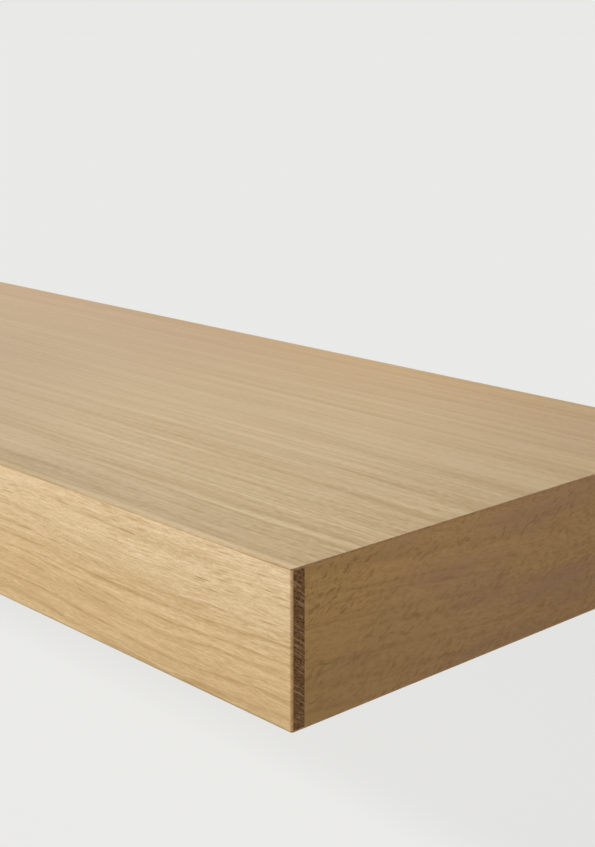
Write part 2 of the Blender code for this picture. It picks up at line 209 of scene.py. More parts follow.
class Finish(Graph):
    """A material in the making. Gloss is the strength of the reflection from a surface that isn't metal."""

    def __init__(self, name, gloss=0.5, metallic=0):
        self.material = bpy.data.materials.new(name)
        self.material.use_nodes = True
        super().__init__(self.material.node_tree)
        self.shader = self.nodes["Principled BSDF"]
        self.fill(self.shader, {"Specular IOR Level": gloss, "Metallic": metallic})

    def millimetres(self, axes="XYZ"):
        """The place on the piece in millimetres, along three axes in the order asked for."""
        place = self.node("ShaderNodeTexCoord", output="Object")
        scaled = self.node("ShaderNodeVectorMath", {0: place, "Scale": 1 / MM}, operation="SCALE")
        split = self.node("ShaderNodeSeparateXYZ", {0: scaled})
        return [split.beside(axis) for axis in axes]

    def facing(self, axis):
        """How squarely the surface faces along an axis, from 0 to 1."""
        normal = self.node("ShaderNodeTexCoord", output="Normal")
        return abs(self.node("ShaderNodeSeparateXYZ", {0: normal}).beside(axis))

    def surface(self, colour, roughness, height, depth):
        """Join the pattern to the shader. Depth is the height of the relief in millimetres."""
        bump = self.node("ShaderNodeBump", {"Strength": 1, "Distance": depth * MM, "Height": height})
        self.fill(self.shader, {"Base Color": colour, "Roughness": roughness, "Normal": bump})
        return self.material


# Oak


class OakLook(SimpleNamespace):
    """How a piece of oak is cut, and how strongly its features show. The defaults suit most pieces.

    layers has the length, width and strength of three kinds of streaks and then of three kinds of fibres.
    A zone has the turn of its border from the grain, the places where it begins and is complete, and what it
    does to red, green and blue. The zone list of a piece paints light and shade into its colour, with some
    tints. A calm is a zone that takes away a share of the contrast of the lines and of all but the coarsest
    streaks, and a share of that of the fibres, the pores and the rays. A steady change of tone along the
    grain is painted shade.
    """

    slope = 0
    valley_depth = 0
    # A steady change of tone along the grain is painted shade.
    painted_shade_drift = 0
    painted_shade_from = 0
    ring_tone = 0
    blush_from = 0.4
    blush_drift = 0
    ray_lean = 0


def tint(colour, red, green, blue):
    """A colour with its channels multiplied."""
    return colour[0] * red, colour[1] * green, colour[2] * blue


def shift_tone(colour, share):
    """A paler or darker wood colour. Blue changes most, as it does in oak."""
    return tint(colour, 1 + share, 1 + 1.3 * share, 1 + 1.9 * share)


def oak_colours(wood, contrast, line, pore, ray, blush, **end_grain):
    """The colours of a piece of oak. Lines, pores and rays are shifts of its tone, and a blush is a tint."""
    shifts = {"light": contrast, "dark": -contrast, "line": line, "pore": pore, "ray": ray}
    tones = {feature: shift_tone(wood, share) for feature, share in shifts.items()}
    return SimpleNamespace(**tones, **end_grain, blush=tint(wood, *blush))


def swing(first, second, degrees):
    """Two axes turned in their plane, the first towards the second."""
    cos, sin = math.cos(math.radians(degrees)), math.sin(math.radians(degrees))
    return first * cos + second * sin, second * cos - first * sin


class OakGrain(Finish):
    """Oiled oak in the making, laid feature over feature."""

    def __init__(self, name, axes, colours, look):
        """Lay the rings. axes names the piece's axes along the grain, across the face and into the piece."""
        super().__init__(name, look.gloss)
        self.colours = colours
        self.look = look
        self.along, self.across, self.deep = self.millimetres(axes)
        self.turned = self.facing(axes[0])
        self.outward, self.around = swing(self.across, self.deep, look.ring_angle)
        self.flow = self.bend_rings()
        spacing = self.noise(self.flow * (0.37 / look.ring_width) + look.start, detail=1)
        ring = self.flow / look.ring_width + (spacing - 0.5) * 2.6
        self.ring = ring.whole()
        self.phase = ring.fraction()
        self.bold = self.chance(self.ring)
        self.clear = self.fibre_clear = 1
        for turn, begin, finish, share, fibre_share in look.calms:
            calm = self.zone(turn, begin, finish)
            self.clear = self.clear * (1 - calm * share)
            self.fibre_clear = self.fibre_clear * (1 - calm * fibre_share)

    def zone(self, turn, begin, finish):
        """From 0 where a zone begins to 1 where it is complete."""
        turn = math.radians(turn)
        return self.ease(self.across * math.cos(turn) + self.along * math.sin(turn), begin, finish)

    def bend_rings(self):
        """The distance outward from the log's heart, in rings that wander and bend."""
        look, along = self.look, self.along
        slow = self.noise(along / 95 + look.start, self.across / 26, self.deep / 26, 1.5)
        waver = self.noise(along / 21 + look.start, self.across / 5, self.deep / 5, 1)
        flow = self.outward + along * look.slope + (slow - 0.5) * look.wander + (waver - 0.5) * look.waver
        if look.valley_depth:
            flow = flow + self.ease(abs(along - look.valley), look.valley_reach, 0) * look.valley_depth
        return flow

    def lay_wood(self):
        """The wood between its features: streaks and fibres that follow the rings and a blush,
        then painted shade along the grain and the zone list of painted light and shade, with tints.
        """
        look, along, start = self.look, self.along, self.look.start
        layers = []
        for count, (length, width, strength) in enumerate(look.layers):
            place = (along / length + start + 5.3 * count, self.flow / width, self.around / width)
            self.finest = self.noise(*place, detail=1) - 0.5
            layers.append(self.finest * strength)
        # Painted shade: the tone changes steadily along the grain.
        painted_shade_drift = (along - look.painted_shade_from) * look.painted_shade_drift
        streaks = (self.bold - 0.5) * look.ring_tone + layers[1] + layers[2]
        fibres = layers[3] + layers[4] + layers[5]
        tone = 0.5 + painted_shade_drift + layers[0] + streaks * self.clear + fibres * self.fibre_clear
        colour = self.lay(self.colours.dark, self.colours.light, tone, 0, 1)
        blush = self.noise(along / 55 + start, self.across / 12, self.deep / 12) + along * look.blush_drift
        blushing = self.ease(blush, look.blush_from, look.blush_from + 0.3) * look.blush
        colour = self.mix(blushing, colour, self.colours.blush)
        # Each zone in the list multiplies the colour: most are painted light and shade, a few are tints.
        for turn, begin, finish, *effect in look.zones:
            colour = self.mix(self.zone(turn, begin, finish), colour, effect, "MULTIPLY")
        return colour

    def lay_lines(self, colour):
        """Each ring starts with a thin porous line, made of dashes, that comes and goes along the grain."""
        look, start = self.look, self.look.start
        self.porous = self.ease(self.phase, 0, look.onset) * self.ease(self.phase, look.fade, look.onset)
        along_line = self.noise(self.along / look.line_length, self.ring * 3.7 + start)
        strength = self.ease(along_line + self.bold * 0.4, 0.42, 0.82)
        dashes = self.noise(self.along / 6.5, self.across / 0.32 + start, self.deep / 0.32, roughness=0.6)
        self.line = self.porous * strength * self.clear * (0.45 + self.ease(dashes, 0.42, 0.62) * 0.55)
        return self.mix(self.line * look.line, colour, self.colours.line)

    def lay_pores(self, colour):
        """Pores are slender vessels, crowded in the porous line."""
        look, start = self.look, self.look.start
        self.vessels = self.cells(self.along / look.vessel + start, self.flow / 0.8, self.around / 0.8)
        crowd = self.noise(self.along / 40, self.across / 9 + start, self.deep / 9, 1)
        wide = look.pore * (0.25 + self.porous * 0.5 + self.ease(crowd, 0.4, 0.7) * 0.7)
        self.pore = self.ease(self.vessels, wide + 0.07, wide) * self.fibre_clear
        return self.mix(self.pore * look.pore_tone, colour, self.colours.pore)

    def lay_rays(self, colour):
        """Rays are plates that run outward from the heart and show as flecks where they are cut flat."""
        look, start = self.look, self.look.start
        length, width = swing(self.outward, self.along, look.ray_lean)
        plates = self.noise(width / look.ray_width + start, length / look.ray_length, self.around / 0.9)
        crowd = self.noise(self.along / 38, self.across / 13 + start)
        here = self.ease(crowd, 0.35, 0.6) * self.fibre_clear * look.ray
        colour = self.mix(self.ease(plates, 0.5, 0.66) * here, colour, self.colours.ray)
        return self.mix(self.ease(plates, 0.5, 0.34) * here * 0.7, colour, self.colours.dark)

    def lay_end_grain(self, colour):
        """Dark, with pores as dots and rays as pale lines. Wood that rounds off to it is browner."""
        look, colours = self.look, self.colours
        dots = self.lay(colours.end_grain, colours.end_pore, self.vessels, 0.42, 0.26)
        dots = self.mix(self.porous * 0.35, dots, colours.end_pore)
        lines = self.noise(self.along / 5, self.outward / 7, self.around / 0.55 + look.start)
        dots = self.lay(dots, colours.end_ray, lines, 0.53, 0.63, 0.8)
        colour = self.mix(self.ease(self.turned, 0.15, 0.6), colour, (0.93, 0.80, 0.70), "MULTIPLY")
        self.square = self.ease(self.turned, look.end_from, look.end_to)
        return self.mix(self.square, colour, dots)

    def oiled(self):
        """All the features, under oil."""
        colour = self.lay_wood()
        for lay in (self.lay_lines, self.lay_pores, self.lay_rays, self.lay_end_grain):
            colour = lay(colour)
        roughness = self.look.rough + self.pore * 0.2 - self.finest * 0.15 + self.square * 0.3
        return self.surface(colour, roughness, self.finest * 0.35 - self.pore * 0.6 - self.line * 0.5, 0.05)


# Other finishes


def softwood(name, axes, start):
    """Planed spruce: straight rings whose late wood is a thin orange line, and sawn ends."""
    wood = Finish(name, 0.3)
    along, across, deep = wood.millimetres(axes)
    slow = wood.noise(along / 220 + start, across / 40, deep / 40, 1.5)
    ring = (across * 0.45 + deep * 0.9 + (slow - 0.5) * 14) / 2.8
    spacing = wood.noise(ring * 0.3 + start, detail=1)
    phase = (ring + (spacing - 0.5) * 2).fraction()
    late = wood.ease(phase, 0.45, 0.92) * wood.ease(phase, 1.0, 0.94)
    fibre = wood.noise(along / 30, across / 0.35 + start, deep / 0.35, 3, 0.7)
    cloud = wood.noise(along / 90, across / 25, deep / 25 + start)
    colour = wood.mix(cloud, (0.62, 0.45, 0.25), (0.74, 0.58, 0.37))
    colour = wood.mix(late * 0.75, colour, (0.42, 0.24, 0.10))
    colour = wood.lay(colour, (0.50, 0.34, 0.18), fibre, 0.55, 0.85, 0.35)
    ducts = wood.cells(along / 14, across / 3.2 + start, deep / 3.2)
    colour = wood.lay(colour, (0.24, 0.12, 0.05), ducts, 0.06, 0.03, 0.7)
    sawn = wood.ease(wood.facing(axes[0]), 0.5, 0.9)
    saw_lines = wood.noise(across / 0.5, deep / 9 + start)
    end_grain = wood.mix(late, (0.46, 0.32, 0.17), (0.27, 0.15, 0.07))
    end_grain = wood.lay(end_grain, (0.56, 0.43, 0.27), saw_lines, 0.4, 0.7, 0.3)
    colour = wood.mix(sawn, colour, end_grain)
    return wood.surface(colour, 0.6 + fibre * 0.2, fibre * 0.5 + late * 0.5 + sawn * saw_lines, 0.08)


def beech(name, start):
    """Beech with short dark ray marks, its grain along X."""
    wood = Finish(name, 0.3)
    along, across, deep = wood.millimetres()
    cloud = wood.noise(along / 40 + start, across / 4, deep / 4, 3)
    marks = wood.cells(along / 3.2, across / 0.7 + start, deep / 0.7)
    colour = wood.mix(cloud, (0.60, 0.38, 0.21), (0.72, 0.50, 0.31))
    colour = wood.lay(colour, (0.36, 0.19, 0.09), marks, 0.22, 0.12, 0.6)
    colour = wood.lay(colour, (0.40, 0.25, 0.13), wood.facing("X"), 0.5, 0.9, 0.6)
    return wood.surface(colour, 0.5 + cloud * 0.2, cloud, 0.05)


def fibreboard(name, middle):
    """Raw fibreboard: pressed, fine-specked faces and paler, furry sawn edges.

    middle is how far above or below the shelf's middle a panel's own middle lies, in millimetres.
    """
    board = Finish(name, 0.2)
    x, y, z = board.millimetres()
    specks = board.noise(x / 0.7, y / 0.7, z / 0.7, 3, 0.75)
    strands = board.noise(x / 3.5, y / 2.8, z / 0.5, 3, 0.7)
    cloud = board.noise(x / 45, y / 45, z / 12)
    colour = board.mix(cloud, (0.33, 0.215, 0.12), (0.43, 0.295, 0.175))
    colour = board.lay(colour, (0.60, 0.45, 0.29), specks, 0.58, 0.75, 0.6)
    colour = board.lay(colour, (0.17, 0.10, 0.055), specks, 0.42, 0.28, 0.6)
    furry = board.lay((0.47, 0.33, 0.20), (0.30, 0.19, 0.105), abs(abs(z) - middle), 1.2, 2.6)
    furry = board.lay(furry, (0.60, 0.46, 0.30), strands, 0.5, 0.75, 0.5)
    edge = board.ease(board.facing("Z"), 0.6, 0.3)
    colour = board.mix(edge, colour, furry)
    return board.surface(colour, 0.75 + specks * 0.15, specks + edge * strands, 0.08)


def kraft_paper(name):
    """Brown paper of a honeycomb core, with fibres and soft creases."""
    paper = Finish(name, 0.2)
    x, y, z = paper.millimetres()
    fibres = paper.noise(x / 0.8, y / 0.8, z / 4, 4, 0.7)
    blotches = paper.noise(x / 9, y / 9, z / 9, 3)
    creases = paper.noise(x / 5, y / 5, z / 1.8)
    colour = paper.mix(blotches, (0.36, 0.235, 0.13), (0.50, 0.35, 0.21))
    colour = paper.lay(colour, (0.66, 0.50, 0.33), fibres, 0.6, 0.8, 0.5)
    colour = paper.lay(colour, (0.22, 0.13, 0.07), fibres, 0.4, 0.25, 0.4)
    return paper.surface(colour, 0.8 + fibres * 0.1, creases * 2 + fibres * 0.3, 0.12)


def powder_coat(name, colour):
    """Fine-textured powder coat on steel, dusty in places and scuffed along its length."""
    coat = Finish(name, 0.45)
    x, y, z = coat.millimetres()
    grain = coat.noise(x / 0.55, y / 0.55, z / 0.55, 2, 0.6)
    bumps = coat.cells(x / 0.9, y / 0.9, z / 0.9)
    dust = coat.noise(x / 30, y / 9, z / 9, 3)
    scuffs = coat.noise(x / 22, y / 2, z / 0.6, 3, 0.7)
    tone = coat.lay(colour, [value * 1.5 + 0.004 for value in colour], dust, 0.35, 0.75)
    tone = coat.lay(tone, (0.12, 0.12, 0.125), grain, 0.62, 0.8, 0.4)
    tone = coat.lay(tone, (0.20, 0.20, 0.205), scuffs, 0.68, 0.8, 0.35)
    return coat.surface(tone, 0.42 + grain * 0.2, grain + bumps, 0.09)


def bright_steel(name, rod_x, tip):
    """Drawn steel bar: lengthwise draw lines, faint scuffs, a turned tip and heat tint beside the weld."""
    steel = Finish(name, metallic=1)
    x, y, z = steel.millimetres()
    from_axis = x - rod_x / MM
    draw_lines = steel.noise(from_axis / 0.12, y / 60, z / 0.12, 2, 0.6)
    smears = steel.noise(from_axis / 4, y / 16, z / 4, 3)
    radius = steel.math("SQRT", from_axis * from_axis + z * z)
    turned = steel.noise(radius / 0.16, detail=1)
    lines = draw_lines + (turned - draw_lines) * steel.ease(steel.facing("Y"), 0.3, 0.6)
    colour = steel.mix(smears, (0.38, 0.385, 0.39), (0.52, 0.525, 0.53))
    for outer_end, full, heat_tint in ((-17, -11, (0.44, 0.33, 0.18)), (-12, -8.5, (0.18, 0.20, 0.28))):
        heated = steel.ease(y, outer_end, full) * steel.ease(y, -2, -5)
        colour = steel.mix(heated * 0.7, colour, heat_tint)
    scrapes = steel.noise(from_axis / 0.5, (y - tip / MM) / 25, z / 0.5, 3, 0.75)
    colour = steel.lay(colour, (0.30, 0.30, 0.31), scrapes, 0.66, 0.78, 0.5)
    return steel.surface(colour, 0.33 + lines * 0.22 + smears * 0.1, lines, 0.02)


def weld_steel(name):
    """Weld metal: dull grey-brown with blue and straw heat tint."""
    metal = Finish(name, metallic=1)
    x, y, z = metal.millimetres()
    patches = metal.noise(x / 2.2, y / 2.2, z / 2.2, 3)
    soot = metal.noise(x / 0.6, y / 0.6, z / 0.6, 3, 0.7)
    colour = metal.lay((0.16, 0.165, 0.20), (0.34, 0.29, 0.22), patches, 0.3, 0.7)
    colour = metal.lay(colour, (0.08, 0.075, 0.07), soot, 0.5, 0.75, 0.6)
    return metal.surface(colour, 0.38 + soot * 0.25, soot, 0.05)


def brass(name):
    """Machined brass, dulled in patches."""
    metal = Finish(name, metallic=1)
    x, y, z = metal.millimetres()
    rings = metal.noise(z / 0.09, detail=1)
    dull = metal.noise(x / 3, y / 3, z / 3, 3)
    colour = metal.lay((0.62, 0.41, 0.15), (0.80, 0.57, 0.25), dull, 0.3, 0.7)
    return metal.surface(colour, 0.25 + dull * 0.2 + rings * 0.1, rings, 0.01)


def black_oxide(name):
    """Oiled black oxide on steel, worn grey in patches."""
    metal = Finish(name, metallic=1)
    x, y, z = metal.millimetres()
    stain = metal.noise(x / 1.5, y / 1.5, z / 1.5, 3, 0.6)
    colour = metal.lay((0.025, 0.025, 0.028), (0.09, 0.088, 0.085), stain, 0.35, 0.7)
    return metal.surface(colour, 0.3 + stain * 0.25, stain, 0.01)


def pale_floor(name, colour, shadow):
    """A pale floor that melts into the backdrop and still takes a faint shadow. From below it is clear."""
    floor = Finish(name, gloss=0)
    lit = [value * shadow for value in colour]
    glowing = [value * (1 - shadow) for value in colour]
    inputs = {"Base Color": lit, "Roughness": 1, "Emission Color": glowing, "Emission Strength": 1}
    floor.fill(floor.shader, inputs)
    clear = floor.node("ShaderNodeBsdfTransparent")
    painted = Wire(floor, floor.shader.outputs[0])
    behind = floor.node("ShaderNodeNewGeometry").beside("Backfacing")
    mixed = floor.node("ShaderNodeMixShader", {0: behind, 1: painted, 2: clear})
    floor.fill(floor.nodes["Material Output"], {"Surface": mixed})
    return floor.material


# Modelling


def clear_selection():
    """Leave edit mode, with nothing selected."""
    if bpy.context.mode != "OBJECT":
        bpy.ops.object.mode_set(mode="OBJECT")
    bpy.ops.object.select_all(action="DESELECT")


def choose(obj):
    """Select one object and make it active."""
    clear_selection()
    obj.select_set(True)
    bpy.context.view_layer.objects.active = obj


def settle(name):
    """Name the active object and move its place, turn and size into its mesh."""
    obj = bpy.context.object
    obj.name = name
    obj.data.name = name
    bpy.ops.object.transform_apply(location=True, rotation=True, scale=True)
    return obj


def add_block(name, low, high):
    """A box between its lowest and highest corners."""
    clear_selection()
    low, high = Vector(low), Vector(high)
    bpy.ops.mesh.primitive_cube_add(size=1, location=(low + high) / 2, scale=high - low)
    return settle(name)


def add_round(name, radius, start, end, sides):
    """A cylinder from one point to another."""
    clear_selection()
    start, end = Vector(start), Vector(end)
    turn = (end - start).to_track_quat("Z", "Y").to_euler()
    bpy.ops.mesh.primitive_cylinder_add(
        vertices=sides, radius=radius, depth=(end - start).length, location=(start + end) / 2, rotation=turn
    )
    return settle(name)


@contextmanager
def editing(obj):
    """Edit mode on one object."""
    choose(obj)
    bpy.ops.object.mode_set(mode="EDIT")
    yield
    bpy.ops.object.mode_set(mode="OBJECT")


def pick(obj, kind, test):
    """Select the mesh's verts, edges or faces that pass a test, and nothing else."""
    bpy.ops.mesh.select_mode(type={"verts": "VERT", "edges": "EDGE", "faces": "FACE"}[kind])
    bpy.ops.mesh.select_all(action="DESELECT")
    bm = bmesh.from_edit_mesh(obj.data)
    for item in getattr(bm, kind):
        if test(item):
            item.select_set(True)
    bmesh.update_edit_mesh(obj.data)


def near(first, second):
    return abs(first - second) < SAME_PLACE


def places(item, axis):
    """Where the corners of an edge or face lie along an axis."""
    return [vert.co["XYZ".index(axis)] for vert in item.verts]


def lies(item, axis, place):
    """Whether all corners of an edge or face lie at a place along an axis."""
    return all(near(corner, place) for corner in places(item, axis))


def runs(edge, axis):
    """Whether an edge's ends lie at different places along an axis."""
    return not near(*places(edge, axis))


def bevel_edges(obj, test, width, segments=1):
    """Bevel the edges that pass a test."""
    with editing(obj):
        pick(obj, "edges", test)
        bpy.ops.mesh.bevel(offset=width, segments=segments, affect="EDGES")


def move_mesh(obj, offset):
    """Move a mesh under its object's origin, which stays."""
    with editing(obj):
        bpy.ops.mesh.select_all(action="SELECT")
        bpy.ops.transform.translate(value=offset)


def apply_modifier(obj, kind, **settings):
    """Add a modifier, set it and apply it."""
    choose(obj)
    modifier = obj.modifiers.new(kind.title(), kind)
    set_all(modifier, settings)
    bpy.ops.object.modifier_apply(modifier=modifier.name)


def cut_with(obj, cutter, operation="DIFFERENCE"):
    """Cut a piece with another or join them. The other is then removed."""
    apply_modifier(obj, "BOOLEAN", object=cutter, operation=operation, solver="EXACT")
    bpy.data.objects.remove(cutter)


def shade(obj, degrees=35):
    """Smooth shading up to an angle, in which large flat faces stay flat."""
    choose(obj)
    bpy.ops.object.shade_smooth_by_angle(angle=math.radians(degrees))
    apply_modifier(obj, "WEIGHTED_NORMAL", mode="FACE_AREA", weight=100, keep_sharp=True)


def round_node(node):
    """The lowest and highest corners of a round CAD node, its middle, and half its width."""
    low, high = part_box(node)
    return low, high, (low + high) / 2, (high.x - low.x) / 2


def dress(obj, node, body, material):
    """Let a finished piece stand for its CAD node."""
    obj.data.materials.clear()
    obj.data.materials.append(material)
    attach(obj, body)
    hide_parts(node)


def repaint(node, material):
    """Give a CAD node that keeps its shape a finer material."""
    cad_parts[node].material_slots[0].material = material


# Oak pieces


def ease_front_uprights(obj, front, end, easing, segments):
    """Round the upright corners at the front, at both ends."""

    def is_upright(edge):
        at_end = all(near(abs(place), end) for place in places(edge, "X"))
        return at_end and lies(edge, "Y", front) and runs(edge, "Z")

    bevel_edges(obj, is_upright, easing, segments)


def make_veneer(name, node, sizes, holes=()):
    """A veneer with eased and slightly worn arrises round its outer face."""
    low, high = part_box(node)
    inner, outer = (low.z, high.z) if high.z > 0 else (high.z, low.z)
    veneer = add_block(name, low, high)
    with editing(veneer):
        pick(veneer, "edges", lambda edge: runs(edge, "X"))
        bpy.ops.mesh.subdivide(number_cuts=sizes.veneer_cuts)
    ease_front_uprights(veneer, low.y, high.x, sizes.corner_easing, segments=5)

    def is_rim(edge):
        upright = any(abs(face.normal.z) < 0.5 for face in edge.link_faces)
        return upright and lies(edge, "Z", outer)

    bevel_edges(veneer, is_rim, sizes.veneer_easing, segments=3)
    for x, y in holes:
        bottom, top = (x, y, low.z - CUT_PAST), (x, y, high.z + CUT_PAST)
        cut_with(veneer, add_round("hole", sizes.insert_hole / 2, bottom, top, HOLE_SIDES))
    heights = [vert.co.z for vert in veneer.data.vertices]
    worn = [index for index, z in enumerate(heights) if not near(z, outer) and not near(z, inner)]
    group = veneer.vertex_groups.new(name="arris")
    group.add(worn, 1, "ADD")
    wear = bpy.data.textures.new("arris wear", "CLOUDS")
    wear.noise_scale = sizes.wear_length
    apply_modifier(
        veneer, "DISPLACE", vertex_group="arris", texture=wear, strength=sizes.wear_depth, mid_level=1
    )
    shade(veneer)
    return veneer


def between_veneers(node):
    """A CAD node's box, closed up to the veneers."""
    low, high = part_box(node)
    low.z, high.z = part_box("bottom_veneer")[1].z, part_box("top_veneer")[0].z
    return low, high


def make_front_lipping(name, sizes):
    """The solid front edge. Its upright corners are eased, and it closes up to both veneers."""
    low, high = between_veneers("front_lipping")
    lipping = add_block(name, low, high)
    ease_front_uprights(lipping, low.y, high.x, sizes.corner_easing, segments=6)
    shade(lipping)
    return lipping


def make_end_lipping(name, node, sizes):
    """An end edge, closed up to the veneers and the front lipping, its back corner eased."""
    low, high = between_veneers(node)
    low.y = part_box("front_lipping")[1].y
    outer = low.x if low.x < 0 else high.x
    lipping = add_block(name, low, high)

    def is_back_corner(edge):
        return lies(edge, "X", outer) and lies(edge, "Y", high.y)

    bevel_edges(lipping, is_back_corner, sizes.veneer_easing, segments=3)
    shade(lipping)
    return lipping


# Bracket


def make_plate(name, sizes):
    """The wall plate: flat bar with round corners, screw slots, rod holes and softened edges."""
    low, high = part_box("wall_plate")
    plate = add_block(name, low, high)
    bevel_edges(plate, lambda edge: runs(edge, "Y"), sizes.plate_corner, segments=8)
    front, back = low.y - CUT_PAST, high.y + CUT_PAST
    half_length, half_width = sizes.slot_length / 2, sizes.slot_width / 2
    for side, sign in SIDES.items():
        rod, radius = round_node(f"{side}_rod")[2:]
        radius += sizes.rod_hole_room
        cut_with(plate, add_round("hole", radius, (rod.x, front, 0), (rod.x, back, 0), ROD_HOLE_SIDES))
        for x in (sign * sizes.outer_slot, sign * sizes.inner_slot):
            slot_low, slot_high = (x - half_length, front, -half_width), (x + half_length, back, half_width)
            slot = add_block("slot", slot_low, slot_high)
            bevel_edges(slot, lambda edge: runs(edge, "Y"), half_width - SAME_PLACE, segments=12)
            cut_with(plate, slot)
    sharp = math.radians(50)
    apply_modifier(
        plate, "BEVEL", width=sizes.plate_easing, segments=2, limit_method="ANGLE", angle_limit=sharp
    )
    shade(plate)
    return plate


def make_rod(name, node, sizes):
    """A drawn bar with a chamfered tip and a centre mark from the lathe."""
    low, high, middle, radius = round_node(node)
    mark_depth = sizes.centre_mark * 0.6
    mark_floor = 0.2
    rod = add_round(name, radius, (middle.x, high.y, 0), (middle.x, low.y, 0), ROD_SIDES)
    bevel_edges(rod, lambda edge: lies(edge, "Y", low.y), sizes.tip_chamfer)
    with editing(rod):
        pick(rod, "faces", lambda face: lies(face, "Y", low.y))
        bpy.ops.mesh.inset(thickness=radius - sizes.tip_chamfer - sizes.centre_mark)
        bpy.ops.mesh.extrude_region_move(TRANSFORM_OT_translate={"value": (0, mark_depth, 0)})
        bpy.ops.transform.resize(value=(mark_floor, 1, mark_floor))
    bevel_edges(rod, lambda edge: lies(edge, "Y", high.y), sizes.plate_easing, segments=2)
    shade(rod)
    return rod


def make_weld(name, node, sizes):
    """A fillet weld laid round the rod's root as a row of overlapping ripples."""
    low, high, middle, radius = round_node(node)
    leg = sizes.weld_leg
    seed = 7 if middle.x < 0 else 11
    chance = random.Random(seed)
    ripples = []
    for step in range(sizes.weld_ripples):
        angle = 2 * math.pi * step / sizes.weld_ripples
        outward = Vector((math.cos(angle), 0, math.sin(angle)))
        size = leg * (RIPPLE_SIZE + RIPPLE_SPREAD * chance.random())
        place = middle + outward * (radius - leg + leg * RIPPLE_SEAT)
        place.y = high.y
        clear_selection()
        bpy.ops.mesh.primitive_uv_sphere_add(segments=16, ring_count=10, radius=1, location=place)
        ripple = bpy.context.object
        ripple.rotation_euler = (0, -angle, 0)
        ripple.scale = (size, size, size * RIPPLE_THICKNESS)
        ripples.append(settle("ripple"))
    choose(ripples[0])
    for ripple in ripples:
        ripple.select_set(True)
    bpy.ops.object.join()
    weld = settle(name)
    apply_modifier(weld, "REMESH", mode="VOXEL", voxel_size=sizes.weld_voxel)
    apply_modifier(weld, "SMOOTH", factor=0.5, iterations=2)
    past = 3 * leg
    plate_low = (low.x - past, high.y, low.z - past)
    cut_with(weld, add_block("plate side", plate_low, (high.x + past, high.y + past, high.z + past)))
    shade(weld, degrees=60)
    return weld


# Fixings


def add_thread(name, root, crest, pitch, low, high):
    """A screw-shaped solid about Z that reaches past both ends.

    Its flanks run from the root on past the crest, so that the blank that it shapes leaves the crest flat.
    """
    past = crest + 0.05 * pitch
    spare_turns = 3
    turns = math.ceil((high - low) / pitch) + spare_turns
    shift = low - pitch * spare_turns / 2
    clear_selection()
    bpy.ops.mesh.primitive_plane_add(size=1)
    thread = settle(name)
    with editing(thread):
        bpy.ops.mesh.delete(type="VERT")
        bm = bmesh.from_edit_mesh(thread.data)
        outline = [(past if on_crest else root, 0, share * pitch) for share, on_crest in THREAD_OUTLINE]
        points = [bm.verts.new(place) for place in outline]
        for pair in zip(points, points[1:]):
            bm.edges.new(pair)
        bmesh.update_edit_mesh(thread.data)
    apply_modifier(
        thread, "SCREW", axis="Z", angle=2 * math.pi, screw_offset=pitch, iterations=turns,
        steps=THREAD_SIDES, render_steps=THREAD_SIDES,
        use_merge_vertices=True, merge_threshold=SAME_PLACE / 2,
    )
    with editing(thread):
        bpy.ops.mesh.select_all(action="SELECT")
        bpy.ops.mesh.remove_doubles(threshold=SAME_PLACE / 2)
        middle = pitch * (turns + 1) / 2
        for is_end in (lambda z: z < middle, lambda z: z > middle):
            pick(thread, "edges", lambda edge: edge.is_boundary and is_end(edge.verts[0].co.z))
            bpy.ops.mesh.extrude_region_move()
            bpy.ops.mesh.merge(type="CENTER")
        bpy.ops.mesh.select_all(action="SELECT")
        bpy.ops.mesh.normals_make_consistent(inside=False)
    move_mesh(thread, (0, 0, shift))
    return thread


def make_set_screw(name, node, sizes):
    """A headless screw: cut thread, hexagon socket below and a flat point above."""
    low, high, middle, radius = round_node(node)
    pitch = sizes.screw_pitch
    screw = add_round(name, radius, (0, 0, low.z), (0, 0, high.z), FIXING_SIDES)
    bevel_edges(screw, lambda edge: lies(edge, "Z", high.z), pitch)
    bevel_edges(screw, lambda edge: lies(edge, "Z", low.z), 0.6 * pitch)
    thread = add_thread("thread", radius - sizes.screw_tooth, radius, pitch, low.z, high.z)
    cut_with(screw, thread, operation="INTERSECT")
    mouth, floor = (0, 0, low.z - CUT_PAST), (0, 0, low.z + sizes.socket_depth)
    cut_with(screw, add_round("socket", sizes.socket_flats / math.sqrt(3), mouth, floor, 6))
    move_mesh(screw, (middle.x, middle.y, 0))
    shade(screw)
    return screw


def make_insert(name, node, sizes):
    """A brass insert: wood thread outside, fine thread inside and a driver slot across its end."""
    low, high, middle, radius = round_node(node)
    insert = add_round(name, radius, (0, 0, low.z), (0, 0, high.z), FIXING_SIDES)

    def is_rim(edge):
        return lies(edge, "Z", high.z) or lies(edge, "Z", low.z)

    bevel_edges(insert, is_rim, sizes.insert_chamfer)
    coarse = add_thread("coarse", radius - sizes.insert_tooth, radius, sizes.insert_pitch, low.z, high.z)
    collar_low, collar_high = (0, 0, low.z - 4 * sizes.insert_pitch), (0, 0, low.z + sizes.collar)
    collar = add_round("collar", 1.2 * radius, collar_low, collar_high, FIXING_SIDES)
    cut_with(coarse, collar, operation="UNION")
    cut_with(insert, coarse, operation="INTERSECT")
    bore = sizes.insert_bore / 2
    cut_with(insert, add_thread("tap", bore - sizes.tap_tooth, bore, sizes.screw_pitch, low.z, high.z))
    half, depth = sizes.driver_slot / 2, 1.5 * sizes.driver_slot
    slot_low, slot_high = (-2 * radius, -half, low.z - CUT_PAST), (2 * radius, half, low.z + depth)
    cut_with(insert, add_block("slot", slot_low, slot_high))
    move_mesh(insert, (middle.x, middle.y, 0))
    shade(insert)
    return insert


# Settings


def length(name, description, millimetres):
    return FloatProperty(name=name, description=description, default=millimetres * MM, unit="LENGTH")


